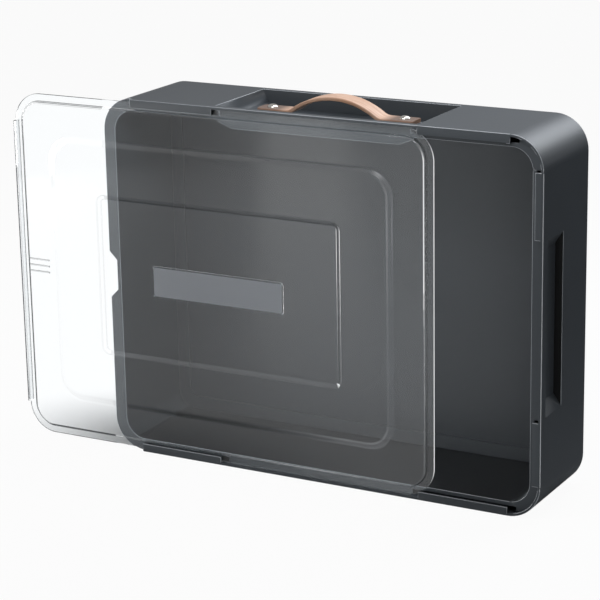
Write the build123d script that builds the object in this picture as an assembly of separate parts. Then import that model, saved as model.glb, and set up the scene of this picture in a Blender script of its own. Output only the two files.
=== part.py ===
from build123d import *
from math import asin, cos, radians, sin, sqrt, tan
import os

# Tool case: a moulded body with an open bay, closed by a clear lid that slides in behind guide lips.
# Millimetres, +Z up. X runs along the lid's travel and the front faces -Y.
# The origin is the centre of the base face.

# Body
case_width = 445.0
case_height = 345.0
case_depth = 102.0
corner_radius = 31.5
wall = 2.5
rear_edge_chamfer = 1.2
front_edge_chamfer = 0.5

# Front flange, and the bay behind it, which narrows to the rear by its draft
flange_thickness = 2.2
bay_inset = 12.0
bay_draft = 1.6
bay_radius = 19.5

# Lid: one sheet with steps in it, shown slid open
lid_sheet = 2.0
lid_gap = 0.3
lid_edge_gap = 0.5
lid_open = 101.0
lid_rim = 7.0
face_slope = 1.6
face_rise = 2.0
panel_inset = 39.0
panel_slope = 5.0
panel_rise = 1.8
panel_radius = 26.0
inner_inset = 91.0
inner_slope = 4.0
inner_sink = 1.8
inner_radius = 8.0
label_width = 141.0
label_height = 31.0
label_rise = 0.8
label_border = 1.5
label_radius = 3.0

# What the hand pulls the lid by: a lip round the body's left side, and ribs beside it
pull_height = 173.4
pull_lip_gap = 0.7
pull_lip_depth = 8.7
pull_lip_round = 1.0
finger_rib_length = 23.0
finger_rib_width = 1.8
finger_rib_rise = 0.8
finger_rib_pitch = 6.0
finger_rib_count = 3
finger_rib_inset = 1.2

# Guide lips: two at the top, two at the bottom and two at the right end
lip_thickness = 2.0
lip_reach = 8.0
lip_inner_end = 103.5
side_lip_length = 59.0
slot_clearance = 0.2
slot_overrun = 7.0
side_slot_overrun = 1.2
detent_width = 3.2
detent_drop = 0.7

# Handle trough in the top: its ends are steep, then shallow
trough_half_width = 102.3
trough_depth = 17.0
trough_knee_in = 5.5
trough_knee_depth = 12.0
trough_foot_in = 19.0
trough_length = 87.7

# Strap, its pads and its rivets
strap_width = 20.0
strap_thickness = 3.5
strap_half_length = 79.5
strap_bend = 50.0
strap_rise = 15.8
strap_bend_radius = 14.0
strap_end_round = 3.0
pad_height = 7.0
pad_width = 24.0
pad_breadth = 22.0
pad_draft = 2.0
pad_corner = 3.0
rivet_x = 67.4
post_radius = 1.75
post_clearance = 0.1
cap_radius = 5.1
cap_height = 3.0
cap_skirt = 0.6
cap_socket = 1.5
cap_bands = 3
head_radius = 4.0
head_height = 1.2
washer_radius = 6.5
washer_thickness = 1.0

# Finger notch in the left edge, behind the pull lip
notch_depth = 8.0
notch_half_height = 22.5
notch_run = 26.0
notch_tail = 8.0

# Hand pocket in the right side: a ramp that ends at an upright rear wall
pocket_depth = 7.5
pocket_bottom = 93.5
pocket_top = 253.7
pocket_end_slope = 11.5
pocket_front = 10.0
pocket_ramp = 18.0
pocket_rear = 45.5

# Back panel and its screws
panel_thickness = 3.0
panel_clearance = 0.2
ring_rise = 2.2
ring_width = 13.0
ring_wall = 2.2
ring_inner_radius = 8.0
boss_width = 6.4
boss_length = 14.0
web_thickness = 1.8
screw_radius = 1.45
screw_length = 11.0
screw_clearance = 0.15
thread_clearance = 0.02
screw_head_radius = 2.75
screw_head_height = 1.6
screw_head_sink = 0.3
screw_from_corner = 45.0

# Places that follow from the sizes above
margin = 1.0
front = -case_depth / 2
rear = case_depth / 2
half_width = case_width / 2
mid_height = case_height / 2
corner_start = half_width - corner_radius
rim_front = front + lip_thickness + lid_gap
rim_back = rim_front + lid_sheet
flange_front = rim_back + lid_gap
flange_back = flange_front + flange_thickness
trough_back = flange_back + trough_length
trough_floor = case_height - trough_depth
panel_front = rear - panel_thickness
bay_taper = tan(radians(bay_draft))
bay_narrowing = (panel_front - flange_front) * bay_taper
channel_middle = (bay_inset + bay_narrowing) / 2
strap_bottom = trough_floor + pad_height
strap_top = strap_bottom + strap_thickness
post_foot = trough_floor - wall - washer_thickness
lid_left = -half_width + lid_edge_gap
lid_right = half_width - wall - lid_edge_gap
lid_middle = (lid_left + lid_right) / 2
lid_height = case_height - 2 * (wall + lid_edge_gap)
lid_radius = corner_radius - wall - lid_edge_gap
lid_face = rim_front - face_rise
lid_panel_face = lid_face - panel_rise
lid_inner_face = lid_panel_face + inner_sink


def upright(y):
    """The plane at depth y that is drawn on in X and Z."""
    return Plane(origin=(0, y, 0), x_dir=(1, 0, 0), z_dir=(0, -1, 0))


def prism(drawing, y_front, y_back):
    """Extrude an X-Z drawing between two depths."""
    return extrude(upright(y_back) * drawing, y_back - y_front)


def frustum(front_drawing, y_front, back_drawing, y_back):
    """A block whose outline changes evenly from one depth to another."""
    return loft([upright(y_back) * back_drawing, upright(y_front) * front_drawing], ruled=True)


def box_between(low, high):
    """A box from its lowest to its highest corner."""
    size = [b - a for a, b in zip(low, high)]
    middle = [(a + b) / 2 for a, b in zip(low, high)]
    return Pos(*middle) * Box(*size)


def body_outline(inset, radius):
    """The body's round-cornered front view, drawn in by inset."""
    return Pos(0, mid_height) * RectangleRounded(case_width - 2 * inset, case_height - 2 * inset, radius)


def bay_outline(inset, radius, y):
    """The bay's outline at depth y, when it has the given inset and radius at the flange."""
    step = (y - flange_front) * bay_taper
    return body_outline(inset + step, radius - step)


def bay_block(inset, radius, y_front, y_back):
    """The bay's tapered form between two depths."""
    return frustum(bay_outline(inset, radius, y_front), y_front, bay_outline(inset, radius, y_back), y_back)


def trough_outline(grow):
    """The trough's front view, up to past the body's top, grown by a wall or a clearance."""
    knee = (trough_half_width - trough_knee_in, case_height - trough_knee_depth)
    foot = (trough_half_width - trough_foot_in, trough_floor)
    lean = trough_knee_in / trough_knee_depth
    mouth = (trough_half_width + lean * trough_depth, case_height + trough_depth)
    right = [foot, knee, mouth]
    left = [(-x, z) for x, z in reversed(right)]
    drawing = make_face(Polyline(*right, *left, close=True))
    return offset(drawing, amount=grow, kind=Kind.INTERSECTION) if grow else drawing


def trough_ceiling():
    """The trough's outer form, which dips through the bay's ceiling over the bay's whole depth."""
    block = prism(trough_outline(wall), flange_front, panel_front)
    return block & prism(body_outline(wall / 2, corner_radius), front, rear)


def channel_above_trough():
    """The open channel between the trough's rear wall and the back panel."""
    hollow = prism(trough_outline(0), trough_back + wall, rear + margin)
    return hollow & prism(body_outline(wall, corner_radius - wall), front, rear + margin)


def notch_hollow(grow):
    """The finger notch: 45 degree ends, and a tail that slopes back out to the left side."""
    outer = -half_width - margin
    floor = -half_width + notch_depth
    wide = notch_half_height + margin
    narrow = notch_half_height - notch_depth
    ends = [(outer, -wide), (floor, -narrow), (floor, narrow), (outer, wide)]
    front_view = make_face(Polyline(*[(x, pull_height + z) for x, z in ends], close=True))
    start = flange_front - margin
    end = flange_front + notch_run
    plan = make_face(Polyline((outer, start), (floor, start), (floor, end - notch_tail),
                              (-half_width, end), (outer, end), close=True))
    if grow:
        front_view = offset(front_view, amount=grow, kind=Kind.INTERSECTION)
        plan = offset(plan, amount=grow, kind=Kind.INTERSECTION)
    return prism(front_view, front, rear) & extrude(plan, case_height)


def pocket_hollow(grow):
    """The hand pocket: a ramp in plan, with sloped faces at its top and bottom ends."""
    outer = half_width + margin
    floor = half_width - pocket_depth
    spread = pocket_end_slope / pocket_depth * margin
    ramp = front + pocket_front
    stop = front + pocket_rear
    plan = make_face(Polyline((outer, ramp), (half_width, ramp), (floor, ramp + pocket_ramp),
                              (floor, stop), (outer, stop), close=True))
    front_view = make_face(Polyline((outer, pocket_bottom - spread), (floor, pocket_bottom + pocket_end_slope),
                                    (floor, pocket_top - pocket_end_slope), (outer, pocket_top + spread),
                                    close=True))
    if grow:
        front_view = offset(front_view, amount=grow, kind=Kind.INTERSECTION)
        plan = offset(plan, amount=grow, kind=Kind.INTERSECTION)
    return prism(front_view, front, rear) & extrude(plan, case_height)


def edge_strip(edge, start, end, inner, y_front, y_back):
    """A strip along one edge of the body, from inside the outer wall in to an inset."""
    low, high = sorted((start, end))
    outer = wall / 2
    if edge == "bottom":
        return box_between((low, y_front, outer), (high, y_back, inner))
    if edge == "top":
        return box_between((low, y_front, case_height - inner), (high, y_back, case_height - outer))
    return box_between((half_width - inner, y_front, low), (half_width - outer, y_back, high))


def lip_spans():
    """Each guide lip as its edge of the body, its first end and its corner end."""
    spans = []
    for side in (-1, 1):
        spans.append(("bottom", side * lip_inner_end, side * corner_start))
        spans.append(("top", side * lip_inner_end, side * corner_start))
    low = corner_radius
    high = case_height - corner_radius
    spans.append(("right", low + side_lip_length, low))
    spans.append(("right", high - side_lip_length, high))
    return spans


def guide_lips():
    """The lips that hold the lid's rim, with a detent at the top right one's corner end."""
    lips = [edge_strip(edge, start, end, lip_reach, front, front + lip_thickness)
            for edge, start, end in lip_spans()]
    lips.append(edge_strip("top", corner_start - detent_width, corner_start, lip_reach + detent_drop,
                           front, front + lip_thickness))
    return lips


def lip_slots():
    """The slots through the flange behind the lips, which the mould's cores leave."""
    slots = []
    for edge, start, end in lip_spans():
        overrun = side_slot_overrun if edge == "right" else slot_overrun
        corner_overrun = overrun if end > 0 else 0
        direction = 1 if end > start else -1
        slots.append(edge_strip(edge, start - direction * overrun, end + direction * corner_overrun,
                                lip_reach + slot_clearance, flange_front - margin, flange_back + margin))
    inside = wall + slot_clearance
    bounds = prism(body_outline(inside, corner_radius - inside), front, rear)
    return [slot & bounds for slot in slots]


def screw_places():
    """The centres of the back panel's screws in X and Z: two in the bottom channel and two in the top one."""
    x = corner_start - screw_from_corner
    return [(side * x, z) for side in (-1, 1) for z in (channel_middle, case_height - channel_middle)]


def screw_bosses():
    """A square boss for each screw, tied to both walls of the channel by a web."""
    bosses = []
    span = 2 * (channel_middle - wall / 2)
    for x, z in screw_places():
        web = Pos(x, z) * Rectangle(web_thickness, span)
        bosses.append(prism(web, flange_back - margin, panel_front))
        boss = Pos(x, z) * Rectangle(boss_width, boss_width)
        bosses.append(prism(boss, panel_front - boss_length, panel_front))
    return bosses


def screw_set(radius, y_front, y_back):
    """A round bar on every screw's line, between two depths."""
    return [prism(Pos(x, z) * Circle(radius), y_front, y_back) for x, z in screw_places()]


def make_pads():
    """The two moulded pads in the trough that the strap's flat ends lie on."""
    pads = []
    for side in (-1, 1):
        top = Plane.XY.offset(strap_bottom) * Pos(side * rivet_x, 0)
        top = top * RectangleRounded(pad_width, pad_breadth, pad_corner)
        pads.append(extrude(top, -(pad_height + wall / 2), taper=-pad_draft))
    return pads


def post_holes():
    """The holes for the rivets, down through strap, pad and trough floor."""
    height = cap_height + strap_top - post_foot
    middle = post_foot + height / 2
    radius = post_radius + post_clearance
    return [Pos(side * rivet_x, 0, middle) * Cylinder(radius, height) for side in (-1, 1)]


def make_case_frame():
    """The body: outer wall, flange, tapered bay wall, trough, notch, pocket, lips and bosses."""
    body = prism(body_outline(0, corner_radius), front, rear)
    body = chamfer(body.edges().group_by(Axis.Y)[-1], rear_edge_chamfer)
    body = chamfer(body.edges().group_by(Axis.Y)[0], front_edge_chamfer)
    inside = body_outline(wall, corner_radius - wall)
    body -= prism(inside, front - margin, flange_front)
    body -= prism(inside, flange_back, rear + margin)
    body += bay_block(bay_inset - wall, bay_radius + wall, flange_front, panel_front)
    body += screw_bosses()
    bounds = prism(body_outline(wall / 2, corner_radius), flange_front, panel_front)
    body += [notch_hollow(wall) & bounds, pocket_hollow(wall) & bounds]
    bay = bay_block(bay_inset, bay_radius, flange_front - margin, rear + margin)
    ceiling = trough_ceiling()
    body -= bay - ceiling
    body += ceiling
    body -= [prism(trough_outline(0), flange_back, trough_back), channel_above_trough()]
    body -= [notch_hollow(0), pocket_hollow(0)]
    body -= lip_slots()
    body += guide_lips()
    body += make_pads()
    body -= post_holes()
    body -= screw_set(screw_radius + thread_clearance, rear - screw_length - 2 * margin, rear)
    left_low = (-half_width - margin, front - margin, -margin)
    left_high = (-corner_start, flange_front, case_height + margin)
    body -= box_between(left_low, left_high)
    return body


def make_back_panel():
    """The rear panel, with a hollow border on its front that plugs into the bay."""
    inset = wall + panel_clearance
    panel = prism(body_outline(inset, corner_radius - inset), panel_front, rear)
    ring_inset = bay_inset + bay_narrowing + panel_clearance
    ring_radius = bay_radius - bay_narrowing - panel_clearance
    outer = body_outline(ring_inset, ring_radius) - trough_outline(wall + panel_clearance)
    inner = body_outline(ring_inset + ring_width, ring_inner_radius)
    panel += prism(outer - inner, panel_front - ring_rise, panel_front)
    core_inset = ring_inset + ring_wall
    core_outer = body_outline(core_inset, ring_radius - ring_wall)
    core_outer -= trough_outline(wall + panel_clearance + ring_wall)
    core_inner = body_outline(ring_inset + ring_width - ring_wall, ring_inner_radius + ring_wall)
    panel -= prism(core_outer - core_inner, rear - ring_rise, rear + margin)
    panel -= screw_set(screw_radius + screw_clearance, panel_front - margin, rear)
    head_depth = screw_head_sink + screw_head_height
    panel -= screw_set(screw_head_radius + screw_clearance, rear - head_depth, rear + margin)
    return panel


def make_back_screws():
    """Equal screws, each a shank and a round head in the back panel's counterbore."""
    head_back = rear - screw_head_sink
    head_front = head_back - screw_head_height
    screws = []
    for x, z in screw_places():
        head = prism(Pos(x, z) * Circle(screw_head_radius), head_front, head_back)
        shank = prism(Pos(x, z) * Circle(screw_radius), head_front - screw_length, head_front)
        screws.append(head + shank)
    return Compound(children=screws)


def strap_arcs(offset_up):
    """One face of the strap as arcs: bend, arch and bend, between its flat ends."""
    reach = (strap_bend ** 2 + strap_rise ** 2) / (2 * strap_rise)
    bend = strap_bend_radius - offset_up
    arch = reach - strap_bend_radius + offset_up
    arch_centre_z = strap_rise - (reach - strap_bend_radius)
    lean_x = strap_bend / reach
    lean_z = (strap_bend_radius - arch_centre_z) / reach
    joint = (arch * lean_x, arch_centre_z + arch * lean_z)
    angle_x, angle_z = unit(lean_x, 1 + lean_z)
    bend_middle = (strap_bend - bend * angle_x, strap_bend_radius - bend * angle_z)
    flat = (strap_bend, offset_up)
    return flat, bend_middle, joint, (0, strap_rise + offset_up)


def unit(x, z):
    """The unit direction of x, z."""
    length = sqrt(x * x + z * z)
    return x / length, z / length


def strap_profile():
    """The strap from the front: flat ends and a tangent arch, an even thickness all along."""
    half = strap_thickness / 2
    edges = []
    tips = []
    for side_offset in (half, -half):
        flat, bend_middle, joint, crown = strap_arcs(side_offset)
        tip = (strap_half_length, side_offset)
        tips.append(tip)
        mirrored = [(-x, z) for x, z in (flat, bend_middle, joint, tip)]
        edges.append(Line(tip, flat))
        edges.append(ThreePointArc(flat, bend_middle, joint))
        edges.append(ThreePointArc(joint, crown, mirrored[2]))
        edges.append(ThreePointArc(mirrored[2], mirrored[1], mirrored[0]))
        edges.append(Line(mirrored[0], mirrored[3]))
    edges.append(Line(*tips))
    edges.append(Line(*[(-x, z) for x, z in tips]))
    return make_face(Curve() + edges)


def make_strap():
    """The leather strap, with a hole at each end for its rivet."""
    middle = (strap_bottom + strap_top) / 2
    strap = prism(Pos(0, middle) * strap_profile(), -strap_width / 2, strap_width / 2)
    corners = strap.edges().filter_by(Axis.Z)
    strap = fillet(corners, strap_end_round)
    return strap - post_holes()


def make_rivet_cap(side):
    """A head with a short skirt, a dome in a few bands and a socket for the post."""
    rise = cap_height - cap_skirt
    dome_radius = (cap_radius ** 2 + rise ** 2) / (2 * rise)
    half_angle = asin(cap_radius / dome_radius)
    points = [(0, 0), (cap_radius, 0)]
    for band in range(cap_bands + 1):
        angle = half_angle * (1 - band / cap_bands)
        points.append((dome_radius * sin(angle), cap_height - dome_radius * (1 - cos(angle))))
    cap = revolve(Plane.XZ * make_face(Polyline(*points, close=True)), Axis.Z)
    cap -= Pos(0, 0, cap_socket / 2) * Cylinder(post_radius + post_clearance, cap_socket)
    return Pos(side * rivet_x, 0, strap_top) * cap


def make_rivet_post(side):
    """The post, with a flat head at its foot under the backing washer."""
    top = strap_top + cap_socket - post_clearance
    length = top - post_foot
    post = Pos(0, 0, post_foot + length / 2) * Cylinder(post_radius, length)
    head = Pos(0, 0, post_foot - head_height / 2) * Cylinder(head_radius, head_height)
    return Pos(side * rivet_x, 0, 0) * (post + head)


def make_backing_washer(side):
    """The washer that spreads the rivet's pull over the underside of the trough floor."""
    washer = Cylinder(washer_radius, washer_thickness) - Cylinder(post_radius + post_clearance, washer_thickness)
    return Pos(side * rivet_x, 0, post_foot + washer_thickness / 2) * washer


def lid_outline(inset, radius):
    """The lid's front view when it is closed, drawn in by inset."""
    width = lid_right - lid_left - 2 * inset
    return Pos(lid_middle, mid_height) * RectangleRounded(width, lid_height - 2 * inset, radius)


def lid_step(inset, radius, slope, y_foot, y_top):
    """A low block with sloped sides, from its wider foot at one depth to its top at another."""
    foot = lid_outline(inset, radius)
    top = lid_outline(inset + slope, radius - slope)
    if y_top < y_foot:
        return frustum(top, y_top, foot, y_foot)
    return frustum(foot, y_foot, top, y_top)


def lid_form(shift, edge):
    """The solid behind the lid's front surface, moved to the rear by shift."""
    deep = rim_back + lid_sheet + shift
    form = prism(lid_outline(-edge, lid_radius + edge), rim_front + shift, deep)
    form += lid_step(lid_rim, lid_radius - lid_rim, face_slope, rim_front + shift, lid_face + shift)
    form += lid_step(panel_inset, panel_radius, panel_slope, lid_face + shift, lid_panel_face + shift)
    form -= lid_step(inner_inset, inner_radius, inner_slope, lid_panel_face + shift, lid_inner_face + shift)
    return form


def lid_extras():
    """The bare label panel and the finger ribs, which stand on the lid's front."""
    bed = lid_sheet / 2
    label = Pos(lid_middle, mid_height) * RectangleRounded(label_width, label_height, label_radius)
    label = prism(label, lid_inner_face - label_rise, lid_inner_face + bed)
    field_width = label_width - 2 * label_border
    field_height = label_height - 2 * label_border
    field = Pos(lid_middle, mid_height) * RectangleRounded(field_width, field_height, label_radius / 2)
    extras = [label - prism(field, lid_inner_face - label_rise - margin, lid_inner_face - label_rise / 2)]
    rib_start = lid_left + lid_rim + face_slope + finger_rib_inset
    for number in range(finger_rib_count):
        z = pull_height + (number - (finger_rib_count - 1) / 2) * finger_rib_pitch
        rib = Pos(rib_start + finger_rib_length / 2, z) * SlotOverall(finger_rib_length, finger_rib_width)
        extras.append(prism(rib, lid_face - finger_rib_rise, lid_face + bed))
    return extras


def pull_lip():
    """The lip on the lid's left edge, which wraps round the body's left side between its corners."""
    inner = -half_width - pull_lip_gap
    outer = inner - lid_sheet
    root = lid_left + lid_rim / 2
    end = rim_front + pull_lip_depth
    plan = make_face(Polyline((root, rim_front), (outer, rim_front), (outer, end), (inner, end),
                              (inner, rim_back), (root, rim_back), close=True))
    lip = Plane.XY.offset(corner_radius) * plan
    lip = extrude(lip, case_height - 2 * corner_radius)
    outside = lip.edges().filter_by(Axis.Z).sort_by(Axis.X)[0:2].sort_by(Axis.Y)[0]
    return fillet(outside, pull_lip_round)


def make_sliding_lid():
    """The clear lid, slid open by lid_open from its closed place."""
    lid = lid_form(0, 0) - lid_form(lid_sheet, margin)
    lid += lid_extras()
    lid += pull_lip()
    return Pos(-lid_open, 0, 0) * lid


def main():
    parts = {
        "case_frame": make_case_frame(),
        "back_panel": make_back_panel(),
        "back_screws": make_back_screws(),
        "strap_handle": make_strap(),
        "sliding_lid": make_sliding_lid(),
    }
    for name, side in (("left", -1), ("right", 1)):
        parts["rivet_cap_" + name] = make_rivet_cap(side)
        parts["rivet_post_" + name] = make_rivet_post(side)
        parts["backing_washer_" + name] = make_backing_washer(side)
    os.makedirs("parts", exist_ok=True)
    for name, shape in parts.items():
        export_step(shape, f"parts/{name}.step")


main()
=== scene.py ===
from math import atan2, cos, degrees, dist, exp, hypot, pi, radians, sin, sqrt

import bmesh
import bpy
from mathutils import Matrix, Vector
from mathutils.bvhtree import BVHTree


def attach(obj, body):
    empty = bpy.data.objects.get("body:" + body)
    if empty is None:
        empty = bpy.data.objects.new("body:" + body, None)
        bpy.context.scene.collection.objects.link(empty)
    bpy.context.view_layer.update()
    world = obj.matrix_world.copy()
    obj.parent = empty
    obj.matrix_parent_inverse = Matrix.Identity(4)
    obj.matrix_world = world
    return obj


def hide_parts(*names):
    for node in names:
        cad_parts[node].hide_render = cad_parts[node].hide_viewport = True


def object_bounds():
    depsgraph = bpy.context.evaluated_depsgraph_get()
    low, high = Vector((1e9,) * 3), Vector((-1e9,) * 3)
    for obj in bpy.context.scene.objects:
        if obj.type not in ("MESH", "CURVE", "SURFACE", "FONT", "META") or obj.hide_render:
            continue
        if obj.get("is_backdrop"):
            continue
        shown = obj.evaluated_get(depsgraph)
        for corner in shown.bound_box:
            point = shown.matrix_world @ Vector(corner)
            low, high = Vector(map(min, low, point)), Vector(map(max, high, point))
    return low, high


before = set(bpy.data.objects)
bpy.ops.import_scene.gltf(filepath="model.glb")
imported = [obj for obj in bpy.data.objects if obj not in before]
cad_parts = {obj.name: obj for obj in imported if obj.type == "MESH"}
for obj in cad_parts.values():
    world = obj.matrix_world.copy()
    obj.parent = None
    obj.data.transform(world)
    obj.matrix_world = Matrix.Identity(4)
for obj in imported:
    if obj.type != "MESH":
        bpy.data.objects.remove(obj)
cad_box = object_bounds()
mm = 0.001


# ---- Studio ------------------------------------------------------------------------------------
# A pale paper sweep and a long lens. One soft box hangs overhead, a low one at the left is nearly level with
# the case's front, so that it catches the rim and leaves the open bay in shade, and a small one lights the
# strap. A white card on the floor at the right draws the fine bright edges.
camera_at = Vector((932.96, -1756.69, 735.65)) * mm
camera_to = Vector((-14.5, -51.0, 173.9)) * mm
camera_roll = radians(-1.07)
camera_lens = 134.2

look_back = (camera_at - camera_to).normalized()
level = Vector((-look_back.y, look_back.x, 0)).normalized()
upward = look_back.cross(level)
right = cos(camera_roll) * level + sin(camera_roll) * upward
above = cos(camera_roll) * upward - sin(camera_roll) * level
lens = bpy.data.cameras.new("camera")
lens.lens = camera_lens
lens.clip_end = 60
camera = bpy.data.objects.new("camera", lens)
camera.matrix_world = Matrix.Translation(camera_at) @ Matrix((right, above, look_back)).transposed().to_4x4()
bpy.context.scene.collection.objects.link(camera)
bpy.context.scene.camera = camera
bpy.context.scene.view_settings.view_transform = "Standard"


def colour(hex_text):
    """An sRGB hex colour as linear light, with its alpha."""
    parts = [int(hex_text[i:i + 2], 16) / 255 for i in (1, 3, 5)]
    return [p / 12.92 if p <= 0.04045 else ((p + 0.055) / 1.055) ** 2.4 for p in parts] + [1]


def add(tree, kind, inputs={}, **settings):
    """Add a node with its settings, and set or link its inputs by name or number."""
    made = tree.nodes.new(kind)
    for name, value in settings.items():
        setattr(made, name, value)
    for name, value in inputs.items():
        if isinstance(value, bpy.types.NodeSocket):
            tree.links.new(value, made.inputs[name])
        else:
            made.inputs[name].default_value = value
    return made


def new_material(name):
    """An empty node material and its tree."""
    made = bpy.data.materials.new(name)
    made.use_nodes = True
    made.node_tree.nodes.clear()
    return made, made.node_tree


def new_object(name, mesh, *materials):
    """An object at the origin that holds a finished mesh, in its materials."""
    made = bpy.data.objects.new(name, mesh)
    for material in materials:
        mesh.materials.append(material)
    bpy.context.scene.collection.objects.link(made)
    return made


def looking_through(tree, rays):
    """Whether a ray of sight has come through the clear lid, and lights nothing."""
    sight = add(tree, "ShaderNodeMath", {0: rays.outputs["Diffuse Depth"], 1: 0.5}, operation="LESS_THAN")
    return add(tree, "ShaderNodeMath", {0: rays.outputs["Is Transmission Ray"], 1: sight.outputs[0]},
               operation="MULTIPLY").outputs[0]


# Paper shows white to the eye and through the lid, is painted dimmer in reflections and takes a soft shadow.
# Through the lid, a painted shadow darkens it close by the body's left side, most of all nearest it. The
# pairs give where each of its tones starts and where it is full.
paper_white = 0.95
paper_through_gain = 0.13
shadow_depth = 0.8
shadow_shift = (130 * mm, 15 * mm, 0)
shadow_scale = (0.8, 1.1, 0)
shadow_reach = (50 * mm, 190 * mm)
dark_reflection_across = (100 * mm, 350 * mm)
dark_reflection_behind = (-250 * mm, 50 * mm)
strip_light = 0.75
strip_slant = -0.555
strip_left = (-75 * mm, -20 * mm)
strip_right = (60 * mm, 150 * mm)
strip_far_out = (-250 * mm, -1000 * mm)

paper, tree = new_material("white_paper_sweep")
rays = add(tree, "ShaderNodeLightPath")
glossy = rays.outputs["Is Glossy Ray"]
through = looking_through(tree, rays)
seen = add(tree, "ShaderNodeMath", {0: rays.outputs["Is Camera Ray"], 1: through}, operation="MAXIMUM")
share = add(tree, "ShaderNodeMath", {0: seen.outputs[0], 1: paper_white}, operation="MULTIPLY")
place = add(tree, "ShaderNodeTexCoord").outputs["Object"]
by_body = add(tree, "ShaderNodeMapping", {"Vector": place, "Location": shadow_shift, "Scale": shadow_scale})
away = add(tree, "ShaderNodeVectorMath", {0: by_body.outputs[0]}, operation="LENGTH")
near = add(tree, "ShaderNodeMapRange",
           {0: away.outputs["Value"], 1: shadow_reach[0], 2: shadow_reach[1], 3: shadow_depth, 4: 0.0},
           interpolation_type="SMOOTHSTEP")
shadow = add(tree, "ShaderNodeMath", {0: through, 1: near.outputs[0]}, operation="MULTIPLY")
share = add(tree, "ShaderNodeMath", {0: share.outputs[0], 1: shadow.outputs[0]}, operation="SUBTRACT",
            use_clamp=True)
# In reflections it is painted darker still at the right and behind, a painted dark reflection.
spot = add(tree, "ShaderNodeSeparateXYZ", {0: place})
beside = add(tree, "ShaderNodeMapRange",
             {0: spot.outputs[0], 1: dark_reflection_across[0], 2: dark_reflection_across[1], 3: 0.0, 4: 1.0})
behind = add(tree, "ShaderNodeMapRange",
             {0: spot.outputs[1], 1: dark_reflection_behind[0], 2: dark_reflection_behind[1], 3: 0.0, 4: 1.0})
dark_reflection = add(tree, "ShaderNodeMath", {0: beside.outputs[0], 1: behind.outputs[0]}, operation="MULTIPLY")
reflected = add(tree, "ShaderNodeMix", {0: dark_reflection.outputs[0], 6: colour("#c8c8c8"), 7: colour("#303030")},
                data_type="RGBA")
# Far out in front a slanting strip of it glows in reflections only, a painted reflection, which the lid
# mirrors as an upright band.
slant = add(tree, "ShaderNodeMath", {0: spot.outputs[1], 1: strip_slant, 2: spot.outputs[0]},
            operation="MULTIPLY_ADD")
lit_side = add(tree, "ShaderNodeMapRange",
               {0: slant.outputs[0], 1: strip_left[0], 2: strip_left[1], 3: 0.0, 4: strip_light},
               interpolation_type="SMOOTHSTEP")
dark_side = add(tree, "ShaderNodeMapRange",
                {0: slant.outputs[0], 1: strip_right[0], 2: strip_right[1], 3: 1.0, 4: 0.0},
                interpolation_type="SMOOTHSTEP")
far_out = add(tree, "ShaderNodeMapRange",
              {0: spot.outputs[1], 1: strip_far_out[0], 2: strip_far_out[1], 3: 0.0, 4: 1.0})
lit_part = lit_side.outputs[0]
for factor in (far_out.outputs[0], dark_side.outputs[0], glossy):
    lit_part = add(tree, "ShaderNodeMath", {0: lit_part, 1: factor}, operation="MULTIPLY").outputs[0]
share = add(tree, "ShaderNodeMath", {0: share.outputs[0], 1: lit_part}, operation="ADD")
tone = add(tree, "ShaderNodeMix", {0: glossy, 6: colour("#f0f0ef"), 7: reflected.outputs[2]},
           data_type="RGBA")
matt = add(tree, "ShaderNodeBsdfDiffuse", {"Color": tone.outputs[2], "Roughness": 0.6})
power = add(tree, "ShaderNodeMath", {0: through, 1: paper_through_gain, 2: 1.0}, operation="MULTIPLY_ADD")
glow = add(tree, "ShaderNodeEmission", {"Color": colour("#ffffff"), "Strength": power.outputs[0]})
mixed = add(tree, "ShaderNodeMixShader", {0: share.outputs[0], 1: matt.outputs[0], 2: glow.outputs[0]})
add(tree, "ShaderNodeOutputMaterial", {"Surface": mixed.outputs[0]})

floor_half = 14.0
floor_z = -0.2 * mm
sweep = bpy.data.meshes.new("paper_sweep")
corners = [(x * floor_half, y * floor_half, floor_z) for x, y in ((-1, -1), (1, -1), (1, 1), (-1, 1))]
sweep.from_pydata(corners, [], [(0, 1, 2, 3)])
new_object("paper_sweep", sweep, paper)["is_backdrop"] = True

# The backdrop lights the case dimly. It adds to that for the eye, through the lid and in reflections.
backdrop_light = 0.14
backdrop_seen = 0.85
backdrop_through = 1.03
backdrop_mirrored = 0.26

world = bpy.data.worlds.new("studio")
world.use_nodes = True
tree = world.node_tree
tree.nodes.clear()
rays = add(tree, "ShaderNodeLightPath")
power = backdrop_light
for kind, gain in ((rays.outputs["Is Camera Ray"], backdrop_seen),
                   (looking_through(tree, rays), backdrop_through),
                   (rays.outputs["Is Glossy Ray"], backdrop_mirrored)):
    power = add(tree, "ShaderNodeMath", {0: kind, 1: gain, 2: power}, operation="MULTIPLY_ADD").outputs[0]
backdrop = add(tree, "ShaderNodeBackground", {"Color": colour("#ffffff"), "Strength": power})
add(tree, "ShaderNodeOutputWorld", {"Surface": backdrop.outputs[0]})
bpy.context.scene.world = world


def soft_box(name, at, to, width, height, watts, tint="#ffffff"):
    """A rectangular area lamp that points from one place to another."""
    lamp = bpy.data.lights.new(name, "AREA")
    lamp.shape = "RECTANGLE"
    lamp.size, lamp.size_y, lamp.energy = width, height, watts
    lamp.color = colour(tint)[:3]
    made = bpy.data.objects.new(name, lamp)
    turn = (Vector(at) - Vector(to)).to_track_quat("Z", "Y")
    made.matrix_world = Matrix.Translation(at) @ turn.to_matrix().to_4x4()
    made.visible_transmission = False
    bpy.context.scene.collection.objects.link(made)


soft_box("overhead_box", at=(0.27, 0.40, 0.90), to=(0.10, 0.0, 0.30), width=0.45, height=1.1, watts=7.1,
         tint="#f0f5fb")
soft_box("left_box", at=(-1.20, -0.62, 0.17), to=(-0.15, -0.05, 0.18), width=0.8, height=0.30, watts=9)
soft_box("handle_light", at=(0.05, -0.30, 0.62), to=(0.0, 0.04, 0.335), width=0.35, height=0.10, watts=1.0)

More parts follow.
